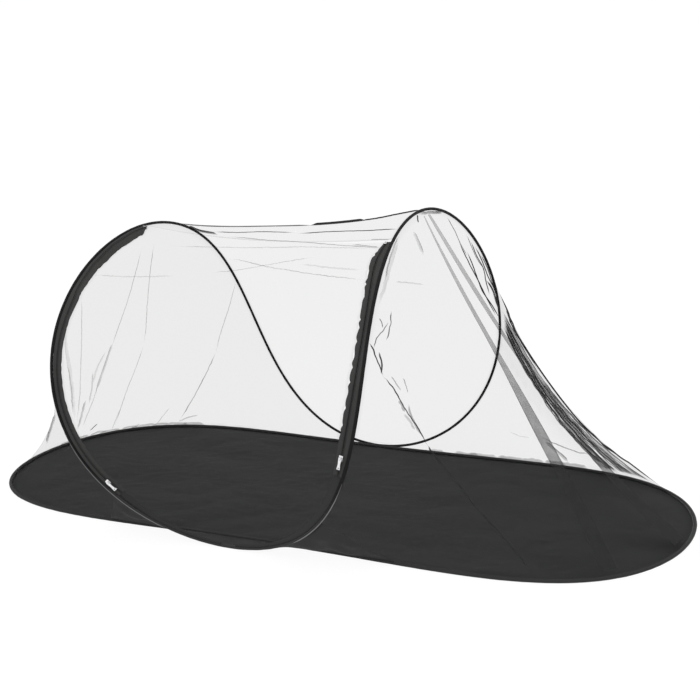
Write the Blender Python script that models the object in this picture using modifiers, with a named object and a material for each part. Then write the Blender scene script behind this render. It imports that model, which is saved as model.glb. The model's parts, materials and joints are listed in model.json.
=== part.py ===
"""Pop-up mosquito net tent. An oval ground sheet lies in a rim of spring wire, and a closed
hoop of spring wire, bent like a saddle into two arches, carries the net above it.
Metres, +Z up. The origin is the middle of the ground sheet's underside, +X runs along the
bed to the taller arch, and -Y is the door side. The tent folds about its waist, the line
across it between the hoop's two low points, so what crosses the waist is in two halves."""

from math import acos, atan2, cos, exp, pi, sin, sqrt

import bmesh
import bpy
from mathutils import Matrix, Vector

TAU = 2 * pi

# Ground sheet and its rim
BASE_LENGTH = 2.000
BASE_WAIST = 0.926
BASE_SHOULDER = 0.0875
HEM_RADIUS = 0.0050
SHEET_THICKNESS = 0.0008

# Canopy hoop
WAIST_X = -0.063
HOOP_SHIFT = -0.028
OVERHANG = 0.083
LOW_WIDTH = BASE_WAIST + OVERHANG
SPREAD = 0.1455
RIGHT_REACH = 0.326
LEFT_REACH = 0.517
FLARE = 0.0855
RIGHT_HEIGHT = 0.814
LEFT_HEIGHT = 0.741
TUCK = 0.0277
SLEEVE_RADIUS = 0.0040

# Spring wire and the crimped tubes that close its rings
WIRE_RADIUS = 0.00125
FERRULE_LENGTH = 0.036
FERRULE_BORE = 0.0015
FERRULE_RADIUS = 0.0020
BORE_RADIUS = 0.0022

# Gaps between neighbours
GAP = 0.0003
SEAM_GAP = 0.0005
DOOR_GAP = 0.0010
FOLD_GAP = 0.0008
FOLD_HEIGHT = 0.0125

# Net and black facing cloth
NET_THICKNESS = 0.0008
CLOTH_THICKNESS = 0.0010
RIGHT_END_BELLY = 0.035
RIGHT_END_DRAW = 0.116
LEFT_END_SAG = 0.088
ROOF_SAG = 0.022
DOOR_SAG = 0.018
END_PLEAT = 0.006
GATHER_PLEAT = 0.009
ROOF_PLEAT = 0.004
SEAM_TOP_WIDTH = 0.003
SEAM_LOW_WIDTH = 0.026
SEAM_LIFTS = (0.0021, 0.0026)
SILL_WIDTH = 0.020
SILL_FOOT_WIDTH = 0.008

# Zips: two tapes with a row of teeth each, and the slit between them that the wedge rides in
ZIP_OFFSET = 0.0165
TAPE_THICKNESS = 0.0008
TAPE_FLAT = 0.0060
TAPE_REACH = 0.0135
TEETH_WIDTH = 0.0022
TEETH_HEIGHT = 0.0022
SLIT = 0.0016
STOP_LENGTH = 0.0040
STOP_DROP = 0.0260

# Slider and pull tab
SLIDER_LENGTH = 0.0140
SLIDER_WIDTH = 0.0100
PLATE_THICKNESS = 0.0013
SLIDER_PLAY = 0.0006
NECK_WIDTH = 0.0008
NECK_LENGTH = 0.0035
CROWN_LENGTH = 0.0048
CROWN_WIDTH = 0.0032
PIN_RADIUS = 0.00075
PIN_PLAY = 0.00035
CROWN_WALL = 0.0009
PIN_HEIGHT = 0.0026
PULL_LENGTH = 0.0270
PULL_WIDTH = 0.0085
PULL_WAIST = 0.0060
PULL_THICKNESS = 0.0014
PULL_HOLE = 0.0034
PULL_CHEEK = 0.0019
CUT_OVERRUN = 0.0020

# Counts and the shares of the hoop's run at which things start and end. A leg's run goes
# from 0 at the front low point, through 0.5 at the arch's top, to 1 at the back low point.
HALF_STEPS = 30
ROUND_SIDES = 8
ZIP_STEPS = 32
END_ROWS = 10
SEAM_ROWS = 36
SILL_STEPS = 10
SKIPPED_SILL_STEPS = 2
PLEATS = 9
GATHER_PLEATS = 13
ROOF_PLEATS = 2.5
STEPS_TO_RIM_FERRULE = 21
STEPS_TO_HOOP_FERRULE = 22
WEB_STEPS = (0.25, 3.25)
END_NET_STEPS = (4, 29)
RIGHT_ZIP_SHARES = (0.195, 0.214, 0.365, 0.422)
LEFT_ZIP_SHARES = (0.129, 0.147, 0.315, 0.485)
ROOF_END_SHARE = 0.935
RIDGE_GAP_SHARE = 0.0030
TAPE_END_SHARE = 0.025
SEAM_SHARES = ((0.492, 0.411), (0.502, 0.546))
END_SHEAR_SHARE = 0.080
SEAM_ENDS_SHARES = (0.03, 0.97)
DRAW_SHARE = 0.617
DRAW_SPREAD_SHARE = 0.147
GATHER_SHARES = (0.560, 0.760)

FACET = cos(pi / ROUND_SIDES)


def hoop_curve(run):
    """The hoop's centre line. run goes from 0 at the front low point over the right arch to 1
    at the back low point, and on over the left arch to 2."""
    t = run * pi
    reach = (RIGHT_REACH + LEFT_REACH) / 2
    lean = (LEFT_REACH - RIGHT_REACH) / 4
    height = (RIGHT_HEIGHT + LEFT_HEIGHT) / 2
    rise = (RIGHT_HEIGHT - LEFT_HEIGHT) / 2
    x = WAIST_X + (reach + FLARE) * sin(t) + FLARE * sin(3 * t) - lean * (1 - cos(2 * t))
    y = HOOP_SHIFT - (LOW_WIDTH / 2 + SPREAD) * cos(t) + SPREAD * cos(3 * t)
    z = SLEEVE_RADIUS + sin(t) ** 2 * (height + rise * sin(t)) - TUCK * sin(2 * t) ** 2
    return Vector((x, y, z))


def rim_curve(turn):
    """The rim wire's centre line. turn goes with the hoop's run: 0 at the front, 0.5 at the
    right end, 1 at the back and 1.5 at the left end."""
    s = turn * pi - pi / 2
    x = (BASE_LENGTH / 2 - HEM_RADIUS) * cos(s)
    y = (BASE_WAIST / 2 + BASE_SHOULDER) * sin(s) + BASE_SHOULDER * sin(3 * s)
    return Vector((x, y, HEM_RADIUS))


def waist_turn(back):
    """The rim's turn where it crosses the waist, at the front or the back."""
    short = acos(-WAIST_X / (BASE_LENGTH / 2 - HEM_RADIUS)) / pi
    return 1.5 - short if back else short - 0.5


def sampled(curve, start, end):
    return [curve(start + (end - start) * i / HALF_STEPS) for i in range(HALF_STEPS + 1)]


RIM_FRONT = waist_turn(back=False)
RIM_BACK = waist_turn(back=True)
HOOP = {1: sampled(hoop_curve, 0, 1), -1: sampled(hoop_curve, 2, 1)}
RIM = {1: sampled(rim_curve, RIM_FRONT, RIM_BACK), -1: sampled(rim_curve, 2 + RIM_FRONT, RIM_BACK)}


def on_line(points, share):
    """A point on a line of points and the line's direction there, which turns smoothly."""
    last = len(points) - 1
    place = min(max(share * last, 0), last)
    i = min(int(place), last - 1)
    point = points[i].lerp(points[i + 1], place - i)
    near = points[max(i - 1, 0)].lerp(points[i], place - i)
    far = points[i + 1].lerp(points[min(i + 2, last)], place - i)
    return point, (far - near).normalized()


def square_to(direction, along):
    """The part of a direction that is square to another, at length 1."""
    return (direction - along * direction.dot(along)).normalized()


def smooth(value):
    value = min(max(value, 0), 1)
    return value * value * (3 - 2 * value)


def new_material(name, colour, roughness, metallic=0.0, alpha=1.0):
    material = bpy.data.materials.new(name)
    material.use_nodes = True
    shader = material.node_tree.nodes["Principled BSDF"]
    shader.inputs["Base Color"].default_value = (*colour, 1.0)
    shader.inputs["Roughness"].default_value = roughness
    shader.inputs["Metallic"].default_value = metallic
    shader.inputs["Alpha"].default_value = alpha
    return material


def link(name, mesh, material, collection="net_tent"):
    """A new object in its collection, shaded smooth but for sharp edges."""
    obj = bpy.data.objects.new(name, mesh)
    if material:
        mesh.materials.append(bpy.data.materials[material])
    bpy.data.collections[collection].objects.link(obj)
    mesh.shade_smooth()
    mesh.set_sharp_from_angle(angle=pi / 4)
    return obj


def poly_curve(name, points, radius, caps):
    curve = bpy.data.curves.new(name, "CURVE")
    curve.dimensions = "3D"
    curve.bevel_depth = radius
    curve.bevel_resolution = ROUND_SIDES // 2 - 2
    curve.use_fill_caps = caps
    spline = curve.splines.new("POLY")
    spline.points.add(len(points) - 1)
    for spot, point in zip(spline.points, points):
        spot.co = (*point, 1.0)
    spline.use_smooth = True
    return curve


def wire(name, points, radius, material):
    """A solid round wire."""
    curve = poly_curve(name, points, radius, caps=True)
    obj = bpy.data.objects.new(name, curve)
    curve.materials.append(bpy.data.materials[material])
    bpy.data.collections["net_tent"].objects.link(obj)
    return obj


def tube(name, points, radius, bore, material):
    """A round tube, open at both ends, with a wall from its outer to its bore radius."""
    curve = poly_curve(name + "_path", points, radius, caps=False)
    path = bpy.data.objects.new(name + "_path", curve)
    bpy.data.collections["net_tent"].objects.link(path)
    graph = bpy.context.evaluated_depsgraph_get()
    mesh = bpy.data.meshes.new_from_object(path.evaluated_get(graph))
    mesh.name = name
    bpy.data.objects.remove(path)
    mesh.materials.clear()
    obj = link(name, mesh, material)
    wall = obj.modifiers.new("wall", "SOLIDIFY")
    wall.thickness = (radius - bore) * FACET
    wall.offset = -1
    wall.use_even_offset = True
    return obj


def sheet(name, columns, rows, place, thickness, material):
    """A thin solid round the surface that place(u, v) gives, u and v from 0 to 1."""
    cage = bmesh.new()
    bmesh.ops.create_grid(cage, x_segments=columns, y_segments=rows, size=0.5)
    for vertex in cage.verts:
        vertex.co = place(vertex.co.x + 0.5, vertex.co.y + 0.5)
    bmesh.ops.recalc_face_normals(cage, faces=cage.faces)
    mesh = bpy.data.meshes.new(name)
    cage.to_mesh(mesh)
    cage.free()
    obj = link(name, mesh, material)
    skin = obj.modifiers.new("skin", "SOLIDIFY")
    skin.thickness = thickness
    skin.offset = 0
    return obj


def plate(name, outline, thickness, material):
    """A flat sheet that lies on the ground, from its outline."""
    curve = bpy.data.curves.new(name, "CURVE")
    curve.dimensions = "2D"
    curve.fill_mode = "BOTH"
    curve.extrude = thickness / 2
    spline = curve.splines.new("POLY")
    spline.points.add(len(outline) - 1)
    for spot, point in zip(spline.points, outline):
        spot.co = (point.x, point.y, 0.0, 1.0)
    spline.use_cyclic_u = True
    obj = bpy.data.objects.new(name, curve)
    obj.location.z = thickness / 2
    curve.materials.append(bpy.data.materials[material])
    bpy.data.collections["net_tent"].objects.link(obj)
    return obj


def split_ends(points, side):
    """The line, ended square to the waist and held off it by half the fold's gap."""
    cuts, stubs = [], []
    for end in (points[0], points[-1]):
        cuts.append(Vector((WAIST_X + side * FOLD_GAP / 2, end.y, end.z)))
        stubs.append(Vector((WAIST_X + side * SLEEVE_RADIUS, end.y, end.z)))
    return [cuts[0], stubs[0], *points[1:-1], stubs[1], cuts[1]]


def side_name(side):
    return "right" if side > 0 else "left"


def ground_half(side):
    """Half of the ground sheet, its rim wire and the hem round the wire."""
    name = side_name(side)
    line = split_ends(RIM[side], side)
    wire(f"rim_wire_{name}", line, WIRE_RADIUS, "spring_steel")
    tube(f"rim_hem_{name}", line, HEM_RADIUS, BORE_RADIUS, "hem_binding")
    inset = sqrt(HEM_RADIUS**2 - (HEM_RADIUS - SHEET_THICKNESS) ** 2) + SEAM_GAP
    outline = []
    for i in range(HALF_STEPS + 1):
        point, along = on_line(RIM[side], i / HALF_STEPS)
        spot = point + Vector((-along.y, along.x, 0)) * side * inset
        if i in (0, HALF_STEPS):
            spot.x = line[0].x
        outline.append(spot)
    plate(f"ground_sheet_{name}", outline, SHEET_THICKNESS, "sheet_polyester")


def hoop_half(side):
    """One arch of the hoop: its spring wire and the black sleeve round it."""
    name = side_name(side)
    line = split_ends(HOOP[side], side)
    wire(f"hoop_wire_{name}", line, WIRE_RADIUS, "spring_steel")
    tube(f"hoop_sleeve_{name}", line, SLEEVE_RADIUS, BORE_RADIUS, "sleeve_polyester")


def ferrule(name, points, step):
    """The crimped tube that joins the ends of a ring's wire, in the middle of a straight step."""
    middle = points[step].lerp(points[step + 1], 0.5)
    half = (points[step + 1] - points[step]).normalized() * FERRULE_LENGTH / 2
    tube(name, [middle - half, middle + half], FERRULE_RADIUS, FERRULE_BORE, "crimped_steel")


def rim_edge(side, share, toward):
    """Where cloth that comes from toward meets the hem."""
    point, along = on_line(RIM[side], share)
    out = square_to(toward - point, along)
    return point + out * (HEM_RADIUS + SEAM_GAP)


def hoop_edge(side, share, toward):
    """Where cloth that comes from toward meets the hoop's sleeve."""
    point, along = on_line(HOOP[side], share)
    out = square_to(toward - point, along)
    return point + out * (SLEEVE_RADIUS + SEAM_GAP)


def end_outward(side, share):
    return Vector((side * sin(pi * share), -cos(pi * share), 1)).normalized()


def end_surface(side, share, drop):
    """The net between an arch and the rim's end: share along the hoop, drop from hoop to rim.
    The left one sags in. The right one bellies out but for its back, where it is gathered and
    drawn in, and its threads run aslant, towards the front at the rim. Both lie in pleats."""
    slant = END_SHEAR_SHARE * sin(pi * share) ** 4 if side > 0 else 0
    top = hoop_edge(side, share, on_line(RIM[side], share - slant)[0])
    low = rim_edge(side, share - slant, on_line(HOOP[side], share)[0])
    point = top.lerp(low, drop)
    bow = 4 * drop * (1 - drop)
    middle = sin(pi * share) ** 2
    pleat = END_PLEAT * sin(TAU * PLEATS * share) * middle
    if side < 0:
        pleat -= LEFT_END_SAG * middle
    else:
        pleat += RIGHT_END_BELLY * middle
        pleat -= RIGHT_END_DRAW * exp(-(((share - DRAW_SHARE) / DRAW_SPREAD_SHARE) ** 2))
        start, end = GATHER_SHARES
        third = (end - start) / 3
        inside = smooth((share - start) / third) * smooth((end - share) / third)
        pleat += GATHER_PLEAT * inside * cos(TAU * GATHER_PLEATS * share)
    return point + end_outward(side, share) * pleat * bow


def end_net(side):
    start, end = END_NET_STEPS

    def place(u, v):
        return end_surface(side, (start + (end - start) * u) / HALF_STEPS, v)

    sheet(f"{side_name(side)}_end_net", 2 * (end - start), END_ROWS, place, NET_THICKNESS, "black_net")


def on_end_net(share, drop):
    """A point on the right end net's own facets."""
    columns = 2 * HALF_STEPS
    i, j = min(int(share * columns), columns - 1), min(int(drop * END_ROWS), END_ROWS - 1)
    across, down = share * columns - i, drop * END_ROWS - j
    sides = [
        end_surface(1, (i + k) / columns, j / END_ROWS).lerp(
            end_surface(1, (i + k) / columns, (j + 1) / END_ROWS), down
        )
        for k in (0, 1)
    ]
    return sides[0].lerp(sides[1], across)


def end_seam(name, top_share, low_share, lift):
    """A flat band of doubled net on the right end's outside, from the arch down to the rim."""

    def place(u, v):
        high, low = SEAM_ENDS_SHARES
        drop = high + (low - high) * v
        middle = top_share + (low_share - top_share) * v
        width = SEAM_TOP_WIDTH + (SEAM_LOW_WIDTH - SEAM_TOP_WIDTH) * v
        share = middle + width * (u - 0.5) / (2 * (RIGHT_HEIGHT + RIGHT_REACH))
        return on_end_net(share, drop) + end_outward(1, share) * lift

    sheet(name, 2, SEAM_ROWS, place, NET_THICKNESS, "doubled_net")


def front_web(side):
    """The black web that closes the ground-level gap between the hoop's foot and the rim."""
    start, end = WEB_STEPS

    def place(u, v):
        share = (start + (end - start) * u) / HALF_STEPS
        top = hoop_edge(side, share, on_line(RIM[side], share)[0])
        low = rim_edge(side, share, on_line(HOOP[side], share)[0])
        return top.lerp(low, v)

    sheet(f"front_web_{side_name(side)}", 12, 2, place, CLOTH_THICKNESS, "sheet_polyester")


def circle_through(a, b, c):
    """Centre and axis of the circle through three points."""
    ab, ac = b - a, c - a
    axis = ab.cross(ac)
    centre = a + (axis.cross(ab) * ac.length_squared + ac.cross(axis) * ab.length_squared) / (
        2 * axis.length_squared
    )
    return centre, axis.normalized()


class ZipLine:
    """The line that a leg's zip follows. Its slider's run, with a little over, is a true arc
    about one axis, across which the tapes lie alike, so the slider turns about that axis."""

    def __init__(self, side, shares):
        self.side = side
        self.low, self.rest, self.end, self.top = shares
        marks = [self.free_frame(s)[0] for s in (self.rest, (self.rest + self.end) / 2, self.end)]
        self.centre, self.axis = circle_through(*marks)
        if self.axis.x * side > 0:
            self.axis.negate()
        spot, _, across = self.free_frame((self.rest + self.end) / 2)
        radial = (spot - self.centre - self.axis * (spot - self.centre).dot(self.axis)).normalized()
        self.radius = (spot - self.centre).length
        self.cant = atan2(across.dot(radial), across.dot(self.axis))

    def free_frame(self, share):
        """The zip's place, direction and width direction where it simply follows the hoop."""
        point, along = on_line(HOOP[self.side], share)
        across = square_to(Vector((-self.side, 0, 0)), along)
        return point + across * ZIP_OFFSET, along, across

    def frame(self, share):
        """Place, direction up the leg, direction to the door and outward normal."""
        spot, along, across = self.free_frame(share)
        away = spot - self.centre
        radial = (away - self.axis * away.dot(self.axis)).normalized()
        fade = (self.end - self.rest) / 3
        over = fade / 6
        inside = smooth((share - self.rest + over + fade) / fade) * smooth(
            (self.end + over + fade - share) / fade
        )
        spot = spot.lerp(self.centre + radial * self.radius, inside)
        arc_across = self.axis * cos(self.cant) + radial * sin(self.cant)
        arc_along = self.axis.cross(radial)
        if arc_along.dot(along) < 0:
            arc_along.negate()
        across = across.lerp(arc_across, inside).normalized()
        along = square_to(along.lerp(arc_along, inside), across)
        normal = along.cross(across) * self.side
        return spot, along, across, normal

    def turn_between(self, first, second):
        """The angle about the axis from one share's place to another's."""
        a = self.frame(first)[0] - self.centre
        b = self.frame(second)[0] - self.centre
        return a.angle(b)

    def matrix(self, share):
        """X up the zip, Y across it, Z out of the tent, at the tape's middle."""
        spot, along, across, normal = self.frame(share)
        across = self.side * across
        return Matrix(
            (
                (along.x, across.x, normal.x, spot.x),
                (along.y, across.y, normal.y, spot.y),
                (along.z, across.z, normal.z, spot.z),
                (0, 0, 0, 1),
            )
        )


ZIPS = {1: ZipLine(1, RIGHT_ZIP_SHARES), -1: ZipLine(-1, LEFT_ZIP_SHARES)}


def inner_edge(side, share):
    """The door-side edge of a leg's tape or, below it, of the sill band."""
    line = ZIPS[side]
    spot, _, across, _ = line.frame(share)
    taper = smooth((line.top - share) / TAPE_END_SHARE)
    if share >= line.low:
        return spot + across * (TAPE_REACH * taper + TAPE_FLAT * (1 - taper))
    start = hoop_edge(side, share, spot)
    return start + across * (SILL_FOOT_WIDTH + (SILL_WIDTH - SILL_FOOT_WIDTH) * smooth(share / line.low))


def zip_tapes(side):
    """The tape sewn to the sleeve, the tape sewn to the door, and a row of teeth on each."""
    line = ZIPS[side]
    name = side_name(side)

    def at(u):
        return line.low + (line.top - line.low) * u

    def outer(u, v):
        spot, _, across, _ = line.frame(at(u))
        flat = spot - across * (SLIT / 2 + (TAPE_FLAT - SLIT / 2) * min(2 * v, 1))
        return flat.lerp(hoop_edge(side, at(u), spot), max(2 * v - 1, 0))

    def inner(u, v):
        spot, _, across, _ = line.frame(at(u))
        flat = spot + across * (SLIT / 2 + (TAPE_FLAT - SLIT / 2) * min(2 * v, 1))
        return flat.lerp(inner_edge(side, at(u)), max(2 * v - 1, 0))

    sheet(f"{name}_zip_hoop_tape", ZIP_STEPS, 2, outer, TAPE_THICKNESS, "zip_tape")
    sheet(f"{name}_zip_door_tape", ZIP_STEPS, 2, inner, TAPE_THICKNESS, "zip_tape")
    lift = (TAPE_THICKNESS + TEETH_HEIGHT) / 2 + GAP
    for hand, row in ((-1, "hoop"), (1, "door")):

        def teeth(u, v, hand=hand):
            spot, _, across, normal = line.frame(at(u))
            return spot + across * hand * (SLIT / 2 + TEETH_WIDTH * v) + normal * lift

        sheet(f"{name}_zip_{row}_teeth", ZIP_STEPS, 1, teeth, TEETH_HEIGHT, "zip_coil")


def box(cage, low, high):
    made = bmesh.ops.create_cube(cage, size=1)["verts"]
    for vertex in made:
        vertex.co = Vector([l + (h - l) * (c + 0.5) for l, h, c in zip(low, high, vertex.co)])
    return made


def cylinder(cage, radius, start, end, sides=16):
    """A cylinder along Y between two heights, with its axis at the two points."""
    start, end = Vector(start), Vector(end)
    made = bmesh.ops.create_cone(
        cage, cap_ends=True, segments=sides, radius1=radius, radius2=radius, depth=(end - start).length
    )["verts"]
    turn = Vector((0, 0, 1)).rotation_difference(end - start).to_matrix().to_4x4()
    bmesh.ops.transform(cage, matrix=Matrix.Translation((start + end) / 2) @ turn, verts=made)
    return made


def solid(name, build, material, collection="net_tent"):
    """An object from one closed shape that build makes in a bmesh."""
    cage = bmesh.new()
    build(cage)
    bmesh.ops.recalc_face_normals(cage, faces=cage.faces)
    mesh = bpy.data.meshes.new(name)
    cage.to_mesh(mesh)
    cage.free()
    obj = link(name, mesh, material, collection)
    if collection == "cutters":
        obj.hide_render = True
        obj.display_type = "WIRE"
    return obj


def boolean(obj, other, operation):
    cut = obj.modifiers.new(operation.lower(), "BOOLEAN")
    cut.object = other
    cut.operation = operation
    return cut


TOP_PLATE = TAPE_THICKNESS / 2 + GAP + TEETH_HEIGHT + SLIDER_PLAY
LOW_PLATE = -TAPE_THICKNESS / 2 - SLIDER_PLAY
PIN_LEVEL = TOP_PLATE + PLATE_THICKNESS + PIN_HEIGHT


def slider(side):
    """The slider: two plates joined by a wedge in the slit, and the eye that holds the pull."""
    line = ZIPS[side]
    name = f"{side_name(side)}_zip_slider"
    half, wide = SLIDER_LENGTH / 2, SLIDER_WIDTH / 2
    roof = TOP_PLATE + PLATE_THICKNESS
    floor = LOW_PLATE - PLATE_THICKNESS
    crown_top = PIN_LEVEL + PIN_RADIUS + PIN_PLAY + CROWN_WALL
    bore = PIN_RADIUS + PIN_PLAY
    top = solid(name, lambda c: box(c, (-half, -wide, TOP_PLATE), (half, wide, roof)), "nickel_plate")
    low = solid(
        name + "_low", lambda c: box(c, (-half, -wide, floor), (half, wide, LOW_PLATE)), None, "cutters"
    )
    neck = solid(
        name + "_neck",
        lambda c: box(
            c,
            (half - NECK_LENGTH, -NECK_WIDTH / 2, floor + PLATE_THICKNESS / 2),
            (half - PLATE_THICKNESS / 2, NECK_WIDTH / 2, roof - PLATE_THICKNESS / 2),
        ),
        None,
        "cutters",
    )
    crown = solid(
        name + "_crown",
        lambda c: box(
            c,
            (-CROWN_LENGTH / 2, -CROWN_WIDTH / 2, roof - PLATE_THICKNESS / 2),
            (CROWN_LENGTH / 2, CROWN_WIDTH / 2, crown_top),
        ),
        None,
        "cutters",
    )
    eye = solid(
        name + "_eye",
        lambda c: cylinder(
            c,
            bore,
            (0, -CROWN_WIDTH / 2 - CUT_OVERRUN, PIN_LEVEL),
            (0, CROWN_WIDTH / 2 + CUT_OVERRUN, PIN_LEVEL),
        ),
        None,
        "cutters",
    )
    for other in (low, neck, crown, eye):
        other.parent = top
    edge = top.modifiers.new("edge", "BEVEL")
    edge.width = PLATE_THICKNESS / 3
    edge.segments = 1
    boolean(top, neck, "UNION")
    boolean(top, low, "UNION")
    boolean(top, crown, "UNION")
    boolean(top, eye, "DIFFERENCE")
    top.matrix_world = line.matrix(line.rest)
    return top


def pull(side, carrier):
    """The pull tab: a flat tongue with a hole, forked round the slider's eye with a cross pin."""
    name = f"{side_name(side)}_zip_pull"
    slot = CROWN_WIDTH / 2 + PIN_PLAY
    reach = sqrt((CROWN_LENGTH / 2) ** 2 + PIN_HEIGHT**2) + PIN_PLAY
    half = PULL_THICKNESS / 2
    wide = PULL_WIDTH / 2
    waist = PULL_WAIST / 2

    def tongue(cage):
        made = box(cage, (-PULL_LENGTH, -wide, -half), (PULL_CHEEK, wide, half))
        edges = list({edge for vertex in made for edge in vertex.link_edges})
        long_edges = [e for e in edges if abs((e.verts[0].co - e.verts[1].co).x) > PULL_WIDTH]
        bmesh.ops.subdivide_edges(cage, edges=long_edges, cuts=1)
        for vertex in cage.verts:
            if -PULL_LENGTH + half < vertex.co.x < -half:
                vertex.co.x = -PULL_LENGTH / 2
                vertex.co.y *= waist / wide

    body = solid(name, tongue, "nickel_plate")
    fork = solid(
        name + "_fork",
        lambda c: box(c, (-reach, -slot, -CUT_OVERRUN), (PULL_CHEEK + CUT_OVERRUN, slot, CUT_OVERRUN)),
        None,
        "cutters",
    )
    pin = solid(
        name + "_pin",
        lambda c: cylinder(c, PIN_RADIUS * FACET, (0, -slot - half, 0), (0, slot + half, 0), ROUND_SIDES),
        None,
        "cutters",
    )
    inset = PULL_LENGTH - PULL_HOLE
    hole = solid(
        name + "_hole",
        lambda c: cylinder(c, PULL_HOLE / 2, (-inset, 0, -CUT_OVERRUN), (-inset, 0, CUT_OVERRUN)),
        None,
        "cutters",
    )
    for other in (fork, pin, hole):
        other.parent = body
    boolean(body, fork, "DIFFERENCE")
    boolean(body, hole, "DIFFERENCE")
    boolean(body, pin, "UNION")
    body.matrix_world = carrier.matrix_world @ Matrix.Translation((0, 0, PIN_LEVEL))
    return body


def zip_stops(side):
    """Crimped stops over both rows of teeth, at the top and below the slider."""
    line = ZIPS[side]
    arc = line.turn_between(line.rest, line.end) * line.radius
    per_length = (line.end - line.rest) / arc
    wide = SLIT / 2 + TEETH_WIDTH + GAP
    base = TAPE_THICKNESS / 2 + GAP + TEETH_HEIGHT + GAP
    for place, share in (
        ("bottom", line.rest - STOP_DROP * per_length),
        ("top", line.top - STOP_LENGTH * 2 * per_length),
    ):
        stop = solid(
            f"{side_name(side)}_zip_{place}_stop",
            lambda c: box(c, (-STOP_LENGTH / 2, -wide, base), (STOP_LENGTH / 2, wide, base + PLATE_THICKNESS)),
            "nickel_plate",
        )
        stop.matrix_world = line.matrix(share)


def sill_shares(side):
    """The hoop shares of the sill band's stations, from the waist up to the zip."""
    start = WEB_STEPS[0] / HALF_STEPS
    end = ZIPS[side].low - RIDGE_GAP_SHARE
    return [start + (end - start) * i / SILL_STEPS for i in range(SILL_STEPS + 1)]


def sill_band(side):
    """The black band that carries on from the zip along the hoop's foot to the waist."""

    def place(u, v):
        share = sill_shares(side)[round(u * SILL_STEPS)]
        spot = ZIPS[side].frame(share)[0]
        return hoop_edge(side, share, spot).lerp(inner_edge(side, share), v)

    sheet(f"door_sill_{side_name(side)}", SILL_STEPS, 1, place, CLOTH_THICKNESS, "sheet_polyester")


def between(right, left, across, share, sag, ripple):
    """A point of the net between the arches, on the line from right to left, which sags inward
    and ripples."""
    bow = 4 * across * (1 - across)
    inward = Vector((0, cos(pi * share), -sin(pi * share)))
    return right.lerp(left, across) + inward * bow * (sag * sin(pi * share) + ripple)


def door_net():
    """The door: net between the two zips, down to the sill, station by station."""
    stations = {}
    for side, line in ZIPS.items():
        step = (line.top - line.low) / ZIP_STEPS
        zip_shares = [line.low + step * i for i in range(ZIP_STEPS + 1)]
        stations[side] = sill_shares(side)[SKIPPED_SILL_STEPS:] + zip_shares
    rows = len(stations[1]) - 1

    def edge(side, row):
        share = stations[side][row]
        return inner_edge(side, share) + ZIPS[side].frame(share)[2] * DOOR_GAP

    def place(u, v):
        row = round(v * rows)
        share = (stations[1][row] + stations[-1][row]) / 2
        ripple = ROOF_PLEAT * sin(TAU * ROOF_PLEATS * v + 2 * u)
        return between(edge(1, row), edge(-1, row), u, share, DOOR_SAG, ripple)

    sheet("door_net", 8, rows, place, NET_THICKNESS, "black_net")


def roof_net():
    """The roof and the back wall in one net, from the ridge over to the back low point."""

    def edge(side, v):
        start = ZIPS[side].top + RIDGE_GAP_SHARE
        share = start + (ROOF_END_SHARE - start) * v
        inward = Vector((-side, 0, 0))
        return hoop_edge(side, share, on_line(HOOP[side], share)[0] + inward), share

    def place(u, v):
        (right, right_share), (left, left_share) = edge(1, v), edge(-1, v)
        ripple = ROOF_PLEAT * sin(TAU * ROOF_PLEATS * v + 2 * u)
        return between(right, left, u, (right_share + left_share) / 2, ROOF_SAG, ripple)

    sheet("roof_net", 10, 24, place, NET_THICKNESS, "black_net")


def clear_scene():
    for obj in list(bpy.data.objects):
        bpy.data.objects.remove(obj)
    for name in ("net_tent", "cutters"):
        bpy.context.scene.collection.children.link(bpy.data.collections.new(name))


def make_materials():
    new_material("sheet_polyester", (0.035, 0.035, 0.035), 0.75)
    new_material("hem_binding", (0.018, 0.018, 0.018), 0.55)
    new_material("sleeve_polyester", (0.016, 0.016, 0.016), 0.60)
    new_material("zip_tape", (0.045, 0.045, 0.045), 0.80)
    new_material("zip_coil", (0.020, 0.020, 0.020), 0.40)
    new_material("spring_steel", (0.450, 0.450, 0.460), 0.35, metallic=1.0)
    new_material("crimped_steel", (0.560, 0.560, 0.560), 0.30, metallic=1.0)
    new_material("nickel_plate", (0.800, 0.800, 0.800), 0.20, metallic=1.0)
    new_material("black_net", (0.060, 0.060, 0.060), 0.90, alpha=0.15)
    new_material("doubled_net", (0.120, 0.120, 0.120), 0.90, alpha=0.45)


def main():
    clear_scene()
    make_materials()
    for side in (1, -1):
        ground_half(side)
        hoop_half(side)
        end_net(side)
        front_web(side)
        zip_tapes(side)
        sill_band(side)
        zip_stops(side)
        pull(side, slider(side))
    ferrule("rim_ferrule", RIM[-1], STEPS_TO_RIM_FERRULE)
    ferrule("hoop_ferrule", HOOP[1], STEPS_TO_HOOP_FERRULE)
    for number, (shares, lift) in enumerate(zip(SEAM_SHARES, SEAM_LIFTS), start=1):
        end_seam(f"end_seam_{number}", *shares, lift)
    door_net()
    roof_net()


main()
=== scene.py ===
"""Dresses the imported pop-up mosquito net tent: fine black net with its folds and gathers, cloth
sleeves and bindings, zips with coils, and the ground sheet, under plain soft studio light.
Metres, +Z up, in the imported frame: +X runs along the bed to the taller arch, -Y is the door."""

import json
from math import acos, atan2, cos, pi, radians, sin

import bpy
import numpy as np
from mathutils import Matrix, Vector, noise


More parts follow.
